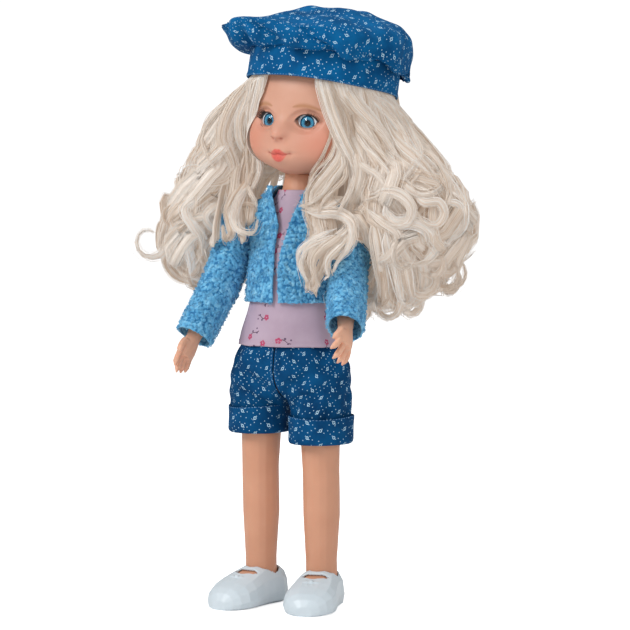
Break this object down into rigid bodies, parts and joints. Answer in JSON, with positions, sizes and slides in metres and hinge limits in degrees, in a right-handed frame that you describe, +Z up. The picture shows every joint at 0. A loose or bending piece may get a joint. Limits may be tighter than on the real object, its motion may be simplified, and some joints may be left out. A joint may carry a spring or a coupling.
{
  "type": "vinyl doll",
  "caption": "Posable girl doll of moulded vinyl with curly rooted hair, gathered beret, cropped knit jacket, T-shirt, turned-up shorts and strap shoes.",
  "frame": {"origin": "centre of the base of the box round the whole doll, on the surface it stands on", "axes": "+Z up, the doll faces -Y and its left side is +X"},
  "size_m": [0.1846, 0.135, 0.3279],
  "materials": {
    "skin_vinyl": "matt peach vinyl",
    "eye_white": "glossy white acrylic",
    "iris_print": "printed blue disc with dark pupil",
    "eye_lens": "clear polished acrylic",
    "lash_fibre": "dark brown nylon fibre",
    "blond_hair": "glossy blond nylon hair",
    "printed_cotton": "blue cotton with a small pale print",
    "boucle_knit": "nubby blue knit",
    "pink_jersey": "pale pink jersey with small flower sprigs",
    "white_vinyl": "white soft vinyl"
  },
  "bodies": {
    "torso": {"torso": "skin_vinyl", "tshirt": "pink_jersey", "jacket_back": "boucle_knit", "jacket_front_left": "boucle_knit", "jacket_front_right": "boucle_knit", "shorts_waistband": "printed_cotton", "shorts_left": "printed_cotton", "shorts_right": "printed_cotton"},
    "head": {"head": "skin_vinyl", "hair_cap": "blond_hair", "hair_back": "blond_hair", "hair_left": "blond_hair", "hair_right": "blond_hair", "hair_lock_left": "blond_hair", "hair_lock_right": "blond_hair", "eye_left": "eye_white", "eye_right": "eye_white", "iris_left": "iris_print", "iris_right": "iris_print", "cornea_left": "eye_lens", "cornea_right": "eye_lens", "eyelash_left": "lash_fibre", "eyelash_right": "lash_fibre"},
    "beret": {"beret_band": "printed_cotton", "beret_crown": "printed_cotton"},
    "arm_left": {"arm_left": "skin_vinyl", "sleeve_left": "boucle_knit"},
    "leg_left": {"leg_left": "skin_vinyl", "shoe_left": "white_vinyl", "cuff_left": "printed_cotton"},
    "arm_right": {"arm_right": "skin_vinyl", "sleeve_right": "boucle_knit"},
    "leg_right": {"leg_right": "skin_vinyl", "shoe_right": "white_vinyl", "cuff_right": "printed_cotton"}
  },
  "joints": [
    {"name": "neck_turn", "type": "hinge", "parent": "torso", "child": "head", "pos_m": [-0.00445, 0.00136, 0.237], "axis": [0.0562, -0.0125, 0.9983], "range_deg": [-75, 100], "deforming": ["hair_back", "hair_left", "hair_right", "hair_lock_left", "hair_lock_right"]},
    {"name": "beret_lift", "type": "slide", "parent": "head", "child": "beret", "axis": [0.0894, 0.1404, 0.9861], "range_m": [0, 0.06]},
    {"name": "shoulder_left", "type": "hinge", "parent": "torso", "child": "arm_left", "pos_m": [0.01505, -0.00164, 0.209], "axis": [-1, 0, 0], "range_deg": [-98, 102]},
    {"name": "shoulder_right", "type": "hinge", "parent": "torso", "child": "arm_right", "pos_m": [-0.02795, -0.00164, 0.209], "axis": [-1, 0, 0], "range_deg": [-89, 111]},
    {"name": "hip_left", "type": "hinge", "parent": "torso", "child": "leg_left", "pos_m": [-0.00645, -0.01064, 0.126], "axis": [-1, 0, 0], "range_deg": [-30, 80], "deforming": ["shorts_left"]},
    {"name": "hip_right", "type": "hinge", "parent": "torso", "child": "leg_right", "pos_m": [-0.00645, -0.01064, 0.126], "axis": [-1, 0, 0], "range_deg": [-30, 80], "deforming": ["shorts_right"]}
  ]
}
